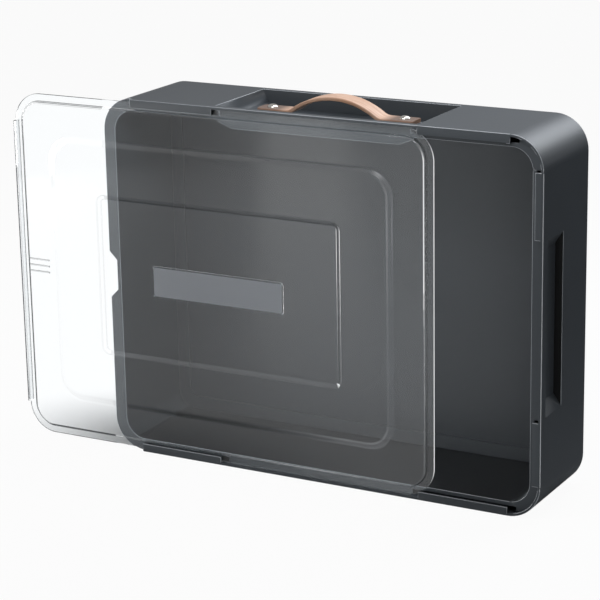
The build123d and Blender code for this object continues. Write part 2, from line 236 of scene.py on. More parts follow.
# The card lights nothing and shows only in reflections.
card_power = 3.0
card_corners = [(0.32, -1.1, 0.001), (1.3, -1.1, 0.001), (1.3, -0.54, 0.001), (0.32, -0.14, 0.001)]
white_card, tree = new_material("white_card")
rays = add(tree, "ShaderNodeLightPath")
clear_air = add(tree, "ShaderNodeBsdfTransparent")
card_glow = add(tree, "ShaderNodeEmission", {"Color": colour("#ffffff"), "Strength": card_power})
mixed = add(tree, "ShaderNodeMixShader",
            {0: rays.outputs["Is Glossy Ray"], 1: clear_air.outputs[0], 2: card_glow.outputs[0]})
add(tree, "ShaderNodeOutputMaterial", {"Surface": mixed.outputs[0]})
card = bpy.data.meshes.new("white_card")
card.from_pydata(card_corners, [], [(0, 1, 2, 3)])
new_object("white_card", card, white_card)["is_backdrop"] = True


# ---- Body --------------------------------------------------------------------------------------
# One moulding of dark grey ABS: the outer wall, the front flange, the tapered bay, the strap's trough,
# the side pocket and the finger notch. Its outer edges are eased as a mould's are, and their roundings are
# painted a paler grey, a painted highlight, so that they show as fine bright lines.
body_ease = 0.4 * mm
weld_gap = 0.002 * mm
coplanar = radians(0.02)
sharp_corner = radians(35)
smooth_turn = radians(16)
own_rounding_turn = radians(4)
clear_air_depth = 500 * mm
satin_spread = 0.04


def moulded_plastic(name, tint, shade, rough):
    """Moulded ABS: a spark-eroded tool leaves a fine even grain, which spreads the light to a satin sheen."""
    made, tree = new_material(name)
    place = add(tree, "ShaderNodeTexCoord").outputs["Object"]
    cloud = add(tree, "ShaderNodeTexNoise", {"Vector": place, "Scale": 1 / (60 * mm), "Detail": 3})
    tone = add(tree, "ShaderNodeMix", {0: cloud.outputs["Fac"], 6: colour(tint), 7: colour(shade)},
               data_type="RGBA")
    # The real grain is about 0.15 mm; it is drawn at 0.5 mm, the finest that shows in the picture.
    grain = add(tree, "ShaderNodeTexNoise", {"Vector": place, "Scale": 1 / (0.5 * mm), "Detail": 2})
    satin = add(tree, "ShaderNodeMapRange",
                {0: grain.outputs["Fac"], 3: rough - satin_spread, 4: rough + satin_spread})
    bump = add(tree, "ShaderNodeBump",
               {"Height": grain.outputs["Fac"], "Strength": 0.12, "Distance": 0.05 * mm})
    shader = add(tree, "ShaderNodeBsdfPrincipled",
                 {"Base Color": tone.outputs[2], "Roughness": satin.outputs[0], "IOR": 1.52,
                  "Normal": bump.outputs[0]})
    add(tree, "ShaderNodeOutputMaterial", {"Surface": shader.outputs[0]})
    return made


def mesh_of(work, name):
    """A new mesh from the finished work on one, which is then let go."""
    mesh = bpy.data.meshes.new(name)
    work.to_mesh(mesh)
    work.free()
    return mesh


def plain_mesh(made, name):
    """An object's mesh with its modifiers worked in, which are then removed."""
    mesh = bpy.data.meshes.new_from_object(made.evaluated_get(bpy.context.evaluated_depsgraph_get()))
    mesh.name = name
    made.modifiers.clear()
    made.data = mesh
    return mesh


def eased_copy(node, name, width, *materials):
    """A CAD node's form with its outer edges rounded; their narrow faces take the second material."""
    work = bmesh.new()
    work.from_mesh(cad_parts[node].data)
    bmesh.ops.remove_doubles(work, verts=work.verts, dist=weld_gap)
    bmesh.ops.dissolve_limit(work, angle_limit=coplanar, verts=work.verts, edges=work.edges)
    tree = BVHTree.FromBMesh(work)
    chosen = []
    for edge in work.edges:
        if len(edge.link_faces) != 2 or not edge.is_convex or edge.calc_face_angle(0) < sharp_corner:
            continue
        # An edge is eased where it faces open air and both of its faces have room.
        room = min(face.calc_area() / max(e.calc_length() for e in face.edges) for face in edge.link_faces)
        outward = (edge.link_faces[0].normal + edge.link_faces[1].normal).normalized()
        middle = (edge.verts[0].co + edge.verts[1].co) / 2 + outward * width
        open_air = tree.ray_cast(middle, outward, clear_air_depth)[0] is None
        if edge.calc_length() > 5 * width and room > 2.5 * width and open_air:
            chosen.append(edge)
    made = bmesh.ops.bevel(work, geom=chosen, offset=width, offset_type="OFFSET", segments=2, profile=0.6,
                           affect="EDGES", clamp_overlap=False)
    # A face of the form's own that is as narrow as a rounding, and turns from its neighbour, counts as one.
    rounded = set(made["faces"])
    for face in work.faces:
        longest = max(face.edges, key=lambda e: e.calc_length())
        narrow = face.calc_area() < 2 * width * longest.calc_length()
        if narrow and longest.calc_face_angle(0) > own_rounding_turn:
            rounded.add(face)
    for face in work.faces:
        face.smooth = True
        face.material_index = 1 if face in rounded else 0
    for edge in work.edges:
        by_rounding = any(face in rounded for face in edge.link_faces)
        edge.smooth = by_rounding or edge.calc_face_angle(0) < smooth_turn
    made = new_object(name, mesh_of(work, name), *materials)
    flat = made.modifiers.new("flat_faces_stay_flat", "WEIGHTED_NORMAL")
    flat.keep_sharp = True
    plain_mesh(made, name)
    return made


def inside(spot, box):
    """Whether a place in millimetres lies in a box, given as a low and a high limit for each axis."""
    return all(low < value < high for value, (low, high) in zip(spot, box))


# The pocket's rear wall, which the fingers pull on, is painted nearly black and made rougher, a painted shade
# of the recess. The bay's floor is painted darker, a painted shade. The right side's front edge is painted a
# pale shine, a painted highlight. Each lies between these limits in X, Y and Z, in millimetres.
pocket_wall = ((192, 221.6), (-40, 52), (60, 285))
bay_floor = ((-204, 204), (-44, 47), (8, 22))
right_front_edge = ((218, 224), (-52, -48), (28, 318))
abs_plastic = moulded_plastic("moulded_abs_dark_grey", "#43484d", "#3e4348", 0.42)
# The eased edges' roundings take this paler grey, a painted highlight.
abs_painted_highlight = moulded_plastic("moulded_abs_painted_edge_highlight", "#b8bcc1", "#a0a4a9", 0.24)
# Painted shade: a near-black grey for the pocket's rear wall.
pocket_painted_shade = moulded_plastic("moulded_abs_painted_pocket_shade", "#101113", "#0c0d0e", 0.7)
# Painted shade: a darker grey for the bay's floor and the back panel's ledge.
painted_floor_shade = moulded_plastic("moulded_abs_painted_bay_shade", "#26282a", "#1e2022", 0.5)
# Painted highlight: a near-white grey for the right side's front edge.
painted_edge_glint = moulded_plastic("moulded_abs_painted_glint_edge", "#f0f2f4", "#dcdee2", 0.2)
body_skins = (abs_plastic, abs_painted_highlight, pocket_painted_shade, painted_floor_shade, painted_edge_glint)
case_body = eased_copy("case_frame", "case_body", body_ease, *body_skins)
for face in case_body.data.polygons:
    spot = face.center / mm
    skin = body_skins[face.material_index]
    if skin == abs_plastic and inside(spot, pocket_wall) and face.normal.y < -0.6:
        face.material_index = body_skins.index(pocket_painted_shade)
    if skin == abs_plastic and inside(spot, bay_floor) and face.normal.z > 0.9:
        face.material_index = body_skins.index(painted_floor_shade)
    if skin == abs_painted_highlight and inside(spot, right_front_edge):
        face.material_index = body_skins.index(painted_edge_glint)
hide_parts("case_frame")
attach(case_body, "case")


# ---- Back panel --------------------------------------------------------------------------------
# A flat ABS moulding that closes the bay from behind. Its hollow border plugs into the bay's end, and
# it is a little darker than the body, from another batch of the same grey.
panel_ease = 0.3 * mm
panel_plastic = moulded_plastic("moulded_abs_charcoal", "#3c3f43", "#373a3e", 0.45)
# The eased edges' roundings take this paler grey, a painted highlight.
panel_painted_highlight = moulded_plastic("moulded_abs_charcoal_painted_highlight", "#515458", "#474a4e", 0.3)
# The ledge that the border makes at the bay's foot is painted darker too, the same painted shade as the bay's
# floor.
ledge_painted_shade = ((-204, 204), (0, 47), (8, 60))
panel_skins = (panel_plastic, panel_painted_highlight, painted_floor_shade)
rear_panel = eased_copy("back_panel", "rear_panel", panel_ease, *panel_skins)
for face in rear_panel.data.polygons:
    plain = panel_skins[face.material_index] == panel_plastic
    if plain and inside(face.center / mm, ledge_painted_shade) and face.normal.z > 0.7:
        face.material_index = panel_skins.index(painted_floor_shade)
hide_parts("back_panel")
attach(rear_panel, "case")


# ---- Screws, posts and washers -----------------------------------------------------------------
# Four pan-head screws of blackened steel with a cross drive hold the back panel. The rivets' posts and
# the washers under the trough are plain zinc-plated steel and out of sight.
screw_span_x = 292 * mm
screw_span_z = 330.363 * mm
screw_middle_z = 172.5 * mm
screw_seat_y = 49.1 * mm
screw_head_r = 2.75 * mm
screw_head_h = 1.6 * mm
screw_dome = 1.35
screw_cross = (3.4 * mm, 0.75 * mm, 2.0 * mm)
screw_shank_r = 1.45 * mm
screw_shank_l = 11 * mm


def finish_mesh(mesh, sharp):
    """Shade a mesh smooth, but for the edges that turn more than an angle."""
    mesh.shade_smooth()
    mesh.set_sharp_from_angle(angle=sharp)


def metal(name, tint, rough, streak):
    """A metal with fine random wear in its polish."""
    made, tree = new_material(name)
    place = add(tree, "ShaderNodeTexCoord").outputs["Object"]
    wear = add(tree, "ShaderNodeTexNoise", {"Vector": place, "Scale": 1 / (1.5 * mm), "Detail": 4})
    polish = add(tree, "ShaderNodeMapRange", {0: wear.outputs["Fac"], 3: rough, 4: rough + streak})
    shader = add(tree, "ShaderNodeBsdfPrincipled",
                 {"Base Color": colour(tint), "Metallic": 1.0, "Roughness": polish.outputs[0]})
    add(tree, "ShaderNodeOutputMaterial", {"Surface": shader.outputs[0]})
    return made


def grown(name, tree, material, sizes):
    """An object whose mesh a geometry tree makes, with the tree's sizes given by name."""
    made = new_object(name, bpy.data.meshes.new(name), material)
    maker = made.modifiers.new("grow", "NODES")
    maker.node_group = tree
    for socket in tree.interface.items_tree:
        if socket.in_out == "INPUT" and socket.name in sizes:
            maker[socket.identifier] = sizes[socket.name]
    plain_mesh(made, name)
    return made


def geometry_tree(name, *sizes):
    """An empty geometry tree with one number input for each size, and its group input and output."""
    tree = bpy.data.node_groups.new(name, "GeometryNodeTree")
    tree.interface.new_socket("Geometry", in_out="OUTPUT", socket_type="NodeSocketGeometry")
    for size in sizes:
        tree.interface.new_socket(size, in_out="INPUT", socket_type="NodeSocketFloat")
    return tree, add(tree, "NodeGroupInput").outputs, add(tree, "NodeGroupOutput")


def ending(tree, end, parts, material):
    """Close a geometry tree: realize its instances and set their material."""
    solid = add(tree, "GeometryNodeRealizeInstances", {"Geometry": parts})
    painted = add(tree, "GeometryNodeSetMaterial", {"Geometry": solid.outputs[0], "Material": material})
    tree.links.new(painted.outputs[0], end.inputs[0])


# One screw, upright: a squashed ball cut off flat makes the head, less a cross, and a rod the shank.
black_oxide = metal("black_oxide_steel", "#4a4a4c", 0.32, 0.2)
tree, sizes, end = geometry_tree("screw_pattern", "Span X", "Span Z", "Head Radius", "Head Height",
                                 "Shank Radius", "Shank Length")
ball = add(tree, "GeometryNodeMeshUVSphere", {"Segments": 40, "Rings": 24, "Radius": sizes["Head Radius"]})
spot = add(tree, "ShaderNodeSeparateXYZ", {0: add(tree, "GeometryNodeInputPosition").outputs[0]})
share = add(tree, "ShaderNodeMath", {0: spot.outputs[2], 1: sizes["Head Radius"]}, operation="DIVIDE")
tall = add(tree, "ShaderNodeMath", {0: sizes["Head Height"], 1: screw_dome}, operation="MULTIPLY")
height = add(tree, "ShaderNodeMath", {0: share.outputs[0], 1: tall.outputs[0]}, operation="MULTIPLY")
height = add(tree, "ShaderNodeMath", {0: height.outputs[0], 1: 0.0}, operation="MAXIMUM")
height = add(tree, "ShaderNodeMath", {0: height.outputs[0], 1: sizes["Head Height"]}, operation="MINIMUM")
spot = add(tree, "ShaderNodeCombineXYZ", {0: spot.outputs[0], 1: spot.outputs[1], 2: height.outputs[0]})
head = add(tree, "GeometryNodeSetPosition", {"Geometry": ball.outputs[0], "Position": spot.outputs[0]})
head = add(tree, "GeometryNodeMergeByDistance", {"Geometry": head.outputs[0], "Distance": 0.01 * mm})
drive = add(tree, "GeometryNodeMeshBoolean", {"Mesh 1": head.outputs[0]}, operation="DIFFERENCE")
length, width, depth = screw_cross
for size in ((length, width, depth), (width, length, depth)):
    bar = add(tree, "GeometryNodeMeshCube", {"Size": size})
    lift = add(tree, "ShaderNodeCombineXYZ", {2: sizes["Head Height"]})
    bar = add(tree, "GeometryNodeTransform", {"Geometry": bar.outputs[0], "Translation": lift.outputs[0]})
    tree.links.new(bar.outputs[0], drive.inputs["Mesh 2"])
rod = add(tree, "GeometryNodeMeshCylinder",
          {"Vertices": 24, "Radius": sizes["Shank Radius"], "Depth": sizes["Shank Length"]})
half = add(tree, "ShaderNodeMath", {0: sizes["Shank Length"], 1: -0.5}, operation="MULTIPLY")
drop = add(tree, "ShaderNodeCombineXYZ", {2: half.outputs[0]})
rod = add(tree, "GeometryNodeTransform", {"Geometry": rod.outputs[0], "Translation": drop.outputs[0]})
screw = add(tree, "GeometryNodeJoinGeometry")
tree.links.new(drive.outputs[0], screw.inputs[0])
tree.links.new(rod.outputs[0], screw.inputs[0])
grid = add(tree, "GeometryNodeMeshGrid",
           {"Size X": sizes["Span X"], "Size Y": sizes["Span Z"], "Vertices X": 2, "Vertices Y": 2})
places = add(tree, "GeometryNodeInstanceOnPoints", {"Points": grid.outputs[0], "Instance": screw.outputs[0]})
stood = add(tree, "GeometryNodeTransform",
            {"Geometry": places.outputs[0], "Translation": (0, screw_seat_y, screw_middle_z),
             "Rotation": (-pi / 2, 0, 0)})
ending(tree, end, stood.outputs[0], black_oxide)
screws = grown("drive_screws", tree, black_oxide,
               {"Span X": screw_span_x, "Span Z": screw_span_z, "Head Radius": screw_head_r,
                "Head Height": screw_head_h, "Shank Radius": screw_shank_r, "Shank Length": screw_shank_l})
finish_mesh(screws.data, radians(35))
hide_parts("back_screws")
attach(screws, "case")

zinc = metal("zinc_plated_steel", "#b9bcc0", 0.25, 0.2)
for name in ("rivet_post_left", "rivet_post_right", "backing_washer_left", "backing_washer_right"):
    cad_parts[name].data.materials.clear()
    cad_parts[name].data.materials.append(zinc)


# ---- Strap -------------------------------------------------------------------------------------
# A strip of natural vegetable-tanned leather, skived to an even 3.5 mm and left undyed. It is wetted
# and formed to its arch, its edges are rounded and burnished, and each end lies flat under a rivet.
strap_width = 20 * mm
strap_thick = 3.5 * mm
strap_half = 79.5 * mm
strap_bend_x = 50 * mm
strap_bend_radius = 14 * mm
strap_rise = 15.8 * mm
strap_flat_z = 336.75 * mm
strap_end_round = 3 * mm
strap_edge = 1.1 * mm
strap_crown = 0.12 * mm
strap_cut_depth = 0.4 * mm
steps_long = 220
end_steps = 8
edge_steps = 6
flat_steps = 14

reach = (strap_bend_x ** 2 + strap_rise ** 2) / (2 * strap_rise)
arch_radius = reach - strap_bend_radius
arch_angle = atan2(strap_bend_x, strap_bend_radius + arch_radius - strap_rise)
flat_run = strap_half - strap_bend_x
bend_run = strap_bend_radius * arch_angle
arch_run = arch_radius * arch_angle


def strap_line(s):
    """The strap's middle line at a run s from its crown: place in X and Z, and its slope."""
    side = 1 if s >= 0 else -1
    s = abs(s)
    if s <= arch_run:
        angle = s / arch_radius
        x, z = arch_radius * sin(angle), strap_rise - arch_radius * (1 - cos(angle))
    elif s <= arch_run + bend_run:
        angle = arch_angle - (s - arch_run) / strap_bend_radius
        x = strap_bend_x - strap_bend_radius * sin(angle)
        z = strap_bend_radius * (1 - cos(angle))
    else:
        angle, x, z = 0, strap_bend_x + s - arch_run - bend_run, 0
    return side * x, strap_flat_z + z, -side * angle


def skin_rings(work, rings):
    """Cover a run of vertex rings with faces, and close both of its ends."""
    for a, b in zip(rings, rings[1:]):
        for i in range(len(a)):
            j = (i + 1) % len(a)
            work.faces.new((a[i], b[i], b[j], a[j]))
    work.faces.new(rings[0])
    work.faces.new(list(reversed(rings[-1])))
    bmesh.ops.recalc_face_normals(work, faces=work.faces)


half_run = flat_run + bend_run + arch_run
section = []
for corner, (cy, cz) in enumerate(((1, 1), (-1, 1), (-1, -1), (1, -1))):
    for i in range(edge_steps + 1):
        angle = pi / 2 * (corner + i / edge_steps)
        section.append((cy * (strap_width / 2 - strap_edge) + strap_edge * cos(angle),
                        cz * (strap_thick / 2 - strap_edge) + strap_edge * sin(angle)))
    if corner in (0, 2):
        start, end = section[-1], (-section[-1][0], section[-1][1])
        for i in range(1, flat_steps):
            share = i / flat_steps
            section.append((start[0] + (end[0] - start[0]) * share, start[1]))
work = bmesh.new()
run_layer = work.verts.layers.float.new("run")
across_layer = work.verts.layers.float.new("across")
edge_layer = work.verts.layers.float.new("cut_edge")
first = half_run - strap_end_round
runs = [-half_run + strap_end_round * (1 - cos(pi / 2 * i / end_steps)) for i in range(end_steps + 1)]
runs += [-first + 2 * first * i / steps_long for i in range(1, steps_long)]
runs += [-s for s in reversed(runs[:end_steps + 1])]
rings = []
for s in runs:
    x, z, slope = strap_line(s)
    over = max(0.0, abs(s) - first)
    narrow = strap_end_round - sqrt(max(0.0, strap_end_round ** 2 - over ** 2))
    ring = []
    for y, height in section:
        keep = (strap_width / 2 - narrow) / (strap_width / 2)
        across = y * keep
        crown = strap_crown * (1 - (2 * y / strap_width) ** 2) if height > 0 else 0
        lift = height + crown
        vert = work.verts.new((x - lift * sin(slope), across, z + lift * cos(slope)))
        vert[run_layer] = s
        vert[across_layer] = across
        side = min(1.0, max(0.0, (abs(y) - (strap_width / 2 - strap_edge)) / strap_edge))
        end = max(0.0, (abs(s) - (half_run - strap_cut_depth)) / strap_cut_depth)
        vert[edge_layer] = max(side, end)
        ring.append(vert)
    rings.append(ring)
skin_rings(work, rings)
strap_mesh = mesh_of(work, "leather_strap")
finish_mesh(strap_mesh, radians(50))

# Vegetable-tanned leather: warm and uneven, with fine pores, streaks along the hide and darker edges. Its
# ends, from the bends outwards, are painted greyer and darker, a painted shade.
leather, tree = new_material("vegetable_tanned_leather")
run = add(tree, "ShaderNodeAttribute", attribute_name="run").outputs["Fac"]
across = add(tree, "ShaderNodeAttribute", attribute_name="across").outputs["Fac"]
cut_edge = add(tree, "ShaderNodeAttribute", attribute_name="cut_edge").outputs["Fac"]
place = add(tree, "ShaderNodeTexCoord").outputs["Object"]
hide = add(tree, "ShaderNodeCombineXYZ", {"X": run, "Y": across}).outputs[0]
cloud = add(tree, "ShaderNodeTexNoise",
            {"Vector": hide, "Scale": 1 / (14 * mm), "Detail": 4, "Roughness": 0.6})
long_way = add(tree, "ShaderNodeMapping", {"Vector": hide, "Scale": (0.06, 1, 1)})
streak = add(tree, "ShaderNodeTexNoise",
             {"Vector": long_way.outputs[0], "Scale": 1 / (1.9 * mm), "Detail": 5})
tone = add(tree, "ShaderNodeMix", {0: cloud.outputs["Fac"], 6: colour("#dab096"), 7: colour("#b98c71")},
           data_type="RGBA")
streak_share = add(tree, "ShaderNodeMapRange", {0: streak.outputs["Fac"], 1: 0.35, 2: 0.7, 3: 0.0, 4: 0.7})
tone = add(tree, "ShaderNodeMix", {0: streak_share.outputs[0], 6: tone.outputs[2], 7: colour("#f3d8c4")},
           data_type="RGBA")
from_crown = add(tree, "ShaderNodeMath", {0: run}, operation="ABSOLUTE")
# Painted shade: from the bends outwards the ends are mixed towards a dark grey-brown.
painted_end_shade = add(tree, "ShaderNodeMapRange",
              {0: from_crown.outputs[0], 1: strap_bend_x, 2: 62 * mm, 3: 0.0, 4: 0.92})
tone = add(tree, "ShaderNodeMix", {0: painted_end_shade.outputs[0], 6: tone.outputs[2], 7: colour("#6e5c53")},
           data_type="RGBA")
edge_share = add(tree, "ShaderNodeMath", {0: cut_edge, 1: 0.6}, operation="MULTIPLY")
tone = add(tree, "ShaderNodeMix", {0: edge_share.outputs[0], 6: tone.outputs[2], 7: colour("#9a7257")},
           data_type="RGBA")
# Real pores and fibres are a few tenths of a millimetre and less. They are drawn as coarse as shows.
pores = add(tree, "ShaderNodeTexVoronoi", {"Vector": place, "Scale": 1 / (0.7 * mm)},
            feature="DISTANCE_TO_EDGE")
fine = add(tree, "ShaderNodeTexNoise", {"Vector": place, "Scale": 1 / (0.35 * mm), "Detail": 3})
relief = add(tree, "ShaderNodeMath", {0: pores.outputs["Distance"], 1: 0.6, 2: fine.outputs["Fac"]},
             operation="MULTIPLY_ADD")
bump = add(tree, "ShaderNodeBump", {"Height": relief.outputs[0], "Strength": 0.35, "Distance": 0.15 * mm})
polish = add(tree, "ShaderNodeMapRange", {0: cloud.outputs["Fac"], 3: 0.42, 4: 0.6})
shader = add(tree, "ShaderNodeBsdfPrincipled",
             {"Base Color": tone.outputs[2], "Roughness": polish.outputs[0], "IOR": 1.48,
              "Normal": bump.outputs[0]})
add(tree, "ShaderNodeOutputMaterial", {"Surface": shader.outputs[0]})
strap = new_object("leather_strap", strap_mesh, leather)
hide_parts("strap_handle")
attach(strap, "case")


# ---- Rivet caps --------------------------------------------------------------------------------
# Two domed caps of nickel-plated brass, each pressed onto its post so that its rim bites a little into
# the leather.
cap_x = 67.4 * mm
cap_foot = 338.5 * mm
cap_radius = 5.1 * mm
cap_height = 3.0 * mm
cap_bite = 0.2 * mm

# Each dome is the upper half of a squashed ball, whose lower half is pressed flat.
nickel = metal("nickel_plated_brass", "#dcd9d3", 0.06, 0.06)
tree, sizes, end = geometry_tree("rivet_pair", "Spacing", "Cap Radius", "Cap Height", "Bite")
ball = add(tree, "GeometryNodeMeshUVSphere", {"Segments": 48, "Rings": 32, "Radius": sizes["Cap Radius"]})
spot = add(tree, "ShaderNodeSeparateXYZ", {0: add(tree, "GeometryNodeInputPosition").outputs[0]})
share = add(tree, "ShaderNodeMath", {0: spot.outputs[2], 1: sizes["Cap Radius"]}, operation="DIVIDE")
height = add(tree, "ShaderNodeMath", {0: share.outputs[0], 1: sizes["Cap Height"]}, operation="MULTIPLY")
bottom = add(tree, "ShaderNodeMath", {0: sizes["Bite"], 1: -1.0}, operation="MULTIPLY")
height = add(tree, "ShaderNodeMath", {0: height.outputs[0], 1: bottom.outputs[0]}, operation="MAXIMUM")
spot = add(tree, "ShaderNodeCombineXYZ", {0: spot.outputs[0], 1: spot.outputs[1], 2: height.outputs[0]})
dome = add(tree, "GeometryNodeSetPosition", {"Geometry": ball.outputs[0], "Position": spot.outputs[0]})
step = add(tree, "ShaderNodeCombineXYZ", {0: sizes["Spacing"]})
pair = add(tree, "GeometryNodeMeshLine",
           {"Count": 2, "Start Location": (-cap_x, 0, cap_foot), "Offset": step.outputs[0]})
places = add(tree, "GeometryNodeInstanceOnPoints", {"Points": pair.outputs[0], "Instance": dome.outputs[0]})
ending(tree, end, places.outputs[0], nickel)
caps = grown("rivet_caps", tree, nickel,
             {"Spacing": 2 * cap_x, "Cap Radius": cap_radius, "Cap Height": cap_height, "Bite": cap_bite})
finish_mesh(caps.data, radians(40))
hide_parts("rivet_cap_left", "rivet_cap_right")
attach(caps, "case")


# ---- Lid ---------------------------------------------------------------------------------------
# One sheet of clear styrene moulding, 2 mm thick and polished, with two stepped panels pressed into its
# face. A lip on its left edge wraps round the body, and it slides in behind the guide lips.
lid_shift = -101.0
lid_shut_x = -1.25
lid_middle_x = lid_shut_x + lid_shift
lid_middle_z = 172.5
lid_half_x = 220.75
lid_half_z = 169.5
lid_sheet = 2.0
rim_y = -48.7
face_y = -50.7
panel_y = -52.5
inner_y = -50.7
corner_steps = 18

# The bends of its steps, from the rim inwards: how far each lies in from the edge, and its corner's radius.
# The last is the ring round the flat middle of the back.
rim_edge = (0, 28.5)
wall_foot = (7, 21.5)
wall_top = (8.6, 19.9)
mid_foot = (39, 26)
mid_top = (44, 21)
inner_top = (91, 8)
inner_foot = (95, 4)
back_middle = (120, 3)
# The label: a low plateau in the inner panel, with a field sunk in its top. Half sizes and corner radii.
label_field = (69.0, 14.0, 2.5)
label_frame = (70.5, 15.5, 4.0)
field_rise = 0.4
frame_rise = 0.8
# How far each bend is rounded: the mid panel's step the most, and the wall's top edge more than the rest.
step_ease = 2.2
wall_ease = 0.75
bend_ease = 0.45
ease_share = 0.45
ease_steps = 4


def lid_ring(half_x, half_z, radius, y):
    """A rounded rectangle at depth y, as a ring of points in millimetres."""
    ring = []
    for corner, (cx, cz) in enumerate(((1, 1), (-1, 1), (-1, -1), (1, -1))):
        for i in range(corner_steps + 1):
            angle = pi / 2 * (corner + i / corner_steps)
            ring.append((lid_middle_x + cx * (half_x - radius) + radius * cos(angle), y,
                         lid_middle_z + cz * (half_z - radius) + radius * sin(angle)))
    return ring


def bend(start, corner, end):
    """Points along a curve that rounds a corner, from one of its sides to the other."""
    shares = [i / ease_steps for i in range(ease_steps + 1)]
    return [tuple((1 - share) ** 2 * start + 2 * share * (1 - share) * corner + share ** 2 * end)
            for share in shares]


def softened(corners):
    """A run of rings, each a half width, half height, radius and depth, with its inner corners rounded."""
    run = [corners[0]]
    for before, here, after in zip(corners, corners[1:], corners[2:]):
        if here[2] in (mid_foot[1], mid_top[1]):
            ease = step_ease
        elif here[2:] == (wall_top[1], face_y):
            ease = wall_ease
        else:
            ease = bend_ease
        into, out = dist(here, before), dist(here, after)
        reach = min(ease, ease_share * into, ease_share * out)
        here = Vector(here)
        run += bend(here.lerp(Vector(before), reach / into), here, here.lerp(Vector(after), reach / out))
    run.append(corners[-1])
    return run


def inset(bend_at, y):
    """A ring's sizes at one of the lid's bends."""
    amount, radius = bend_at
    return (lid_half_x - amount, lid_half_z - amount, radius, y)


steps_in = [(rim_edge, rim_y), (wall_foot, rim_y), (wall_top, face_y), (mid_foot, face_y), (mid_top, panel_y),
            (inner_top, panel_y), (inner_foot, inner_y)]
profile = [(*label_field, inner_y - field_rise), (*label_field, inner_y - frame_rise),
           (*label_frame, inner_y - frame_rise), (*label_frame, inner_y)]
profile += [inset(bend_at, y) for bend_at, y in reversed(steps_in)]
profile += [inset(bend_at, y + lid_sheet) for bend_at, y in steps_in]
profile.append(inset(back_middle, inner_y + lid_sheet))
work = bmesh.new()
rings = [[work.verts.new([c * mm for c in spot]) for spot in lid_ring(*sizes)] for sizes in softened(profile)]
skin_rings(work, rings)
lid_mesh = mesh_of(work, "clear_lid")

# The lip: an angle strip whose corners are rounded, joined to the sheet by a union.
lip_low, lip_high = 31.5, 313.5
lip_plan = [(-218.5, -48.7), (-225.2, -48.7), (-225.2, -40.0),
            (-223.2, -40.0), (-223.2, -46.7), (-218.5, -46.7)]
lip_ease = {1: 1.0, 2: 0.5, 3: 0.5, 4: 0.4}

plan = []
for i, corner in enumerate(lip_plan):
    here = Vector(corner)
    if i in lip_ease:
        into = (Vector(lip_plan[i - 1]) - here).normalized() * lip_ease[i]
        out = (Vector(lip_plan[(i + 1) % len(lip_plan)]) - here).normalized() * lip_ease[i]
        plan += bend(here + into, here, here + out)
    else:
        plan.append(corner)
work = bmesh.new()
low = [work.verts.new(((x + lid_shift) * mm, y * mm, lip_low * mm)) for x, y in plan]
high = [work.verts.new(((x + lid_shift) * mm, y * mm, lip_high * mm)) for x, y in plan]
for i in range(len(plan)):
    j = (i + 1) % len(plan)
    work.faces.new((low[i], low[j], high[j], high[i]))
work.faces.new(low)
work.faces.new(high)
bmesh.ops.recalc_face_normals(work, faces=work.faces)
lip_mesh = mesh_of(work, "pull_lip")
lip = new_object("pull_lip", lip_mesh)

# The grip ribs: three balls drawn out into long beads, half sunk in the sheet.
rib_length = 23.0 * mm
rib_width = 1.8 * mm
rib_rise = 0.8 * mm
rib_pitch = 6.0 * mm
rib_count = 3
rib_middle_z = 173.4
rib_middle = (-301.7 * mm, face_y * mm, rib_middle_z * mm)

# Clear styrene is nearly colourless, with a bright skin from the polished tool, and it lets lamps through.
# Its rim and its steps get a painted glow, as of light led along the sheet, pale over the body and most of
# all on the right side. A painted shade makes them dark past the body, and where the sheet turns away from
# the light.
styrene_ior = 1.57
frost_share = 0.27
clear, tree = new_material("clear_moulded_styrene")
place = add(tree, "ShaderNodeTexCoord").outputs["Object"]
flow = add(tree, "ShaderNodeTexNoise", {"Vector": place, "Scale": 1 / (70 * mm), "Detail": 1})
skin = add(tree, "ShaderNodeMapRange", {0: flow.outputs["Fac"], 3: 0.01, 4: 0.03})
glass = add(tree, "ShaderNodeBsdfPrincipled",
            {"Base Color": colour("#f8fafb"), "Roughness": skin.outputs[0], "IOR": styrene_ior,
             "Transmission Weight": 1.0})
# Painted glow and painted shade: each face's edge_glow mixes in a pale light, its edge_shade a dark grey.
painted_glow = add(tree, "ShaderNodeAttribute", attribute_name="edge_glow").outputs["Fac"]
lit_tone = add(tree, "ShaderNodeMix", {0: painted_glow, 6: colour("#888c92"), 7: colour("#ffffff")},
               data_type="RGBA")
glow_emission = add(tree, "ShaderNodeEmission", {"Color": lit_tone.outputs[2], "Strength": 1.0})
bright = add(tree, "ShaderNodeMixShader", {0: painted_glow, 1: glass.outputs[0], 2: glow_emission.outputs[0]})
shaded = add(tree, "ShaderNodeAttribute", attribute_name="edge_shade").outputs["Fac"]
dark = add(tree, "ShaderNodeBsdfDiffuse", {"Color": colour("#3c4043")})
bright = add(tree, "ShaderNodeMixShader", {0: shaded, 1: bright.outputs[0], 2: dark.outputs[0]})


def let_lamps_through(tree, shader, tint):
    """End a clear sheet's material: a lamp's light passes it, tinted but not bent."""
    through = add(tree, "ShaderNodeBsdfTransparent", {"Color": colour(tint)})
    rays = add(tree, "ShaderNodeLightPath")
    lit = add(tree, "ShaderNodeMixShader",
              {0: rays.outputs["Is Shadow Ray"], 1: shader.outputs[0], 2: through.outputs[0]})
    add(tree, "ShaderNodeOutputMaterial", {"Surface": lit.outputs[0]})


let_lamps_through(tree, bright, "#e9eced")

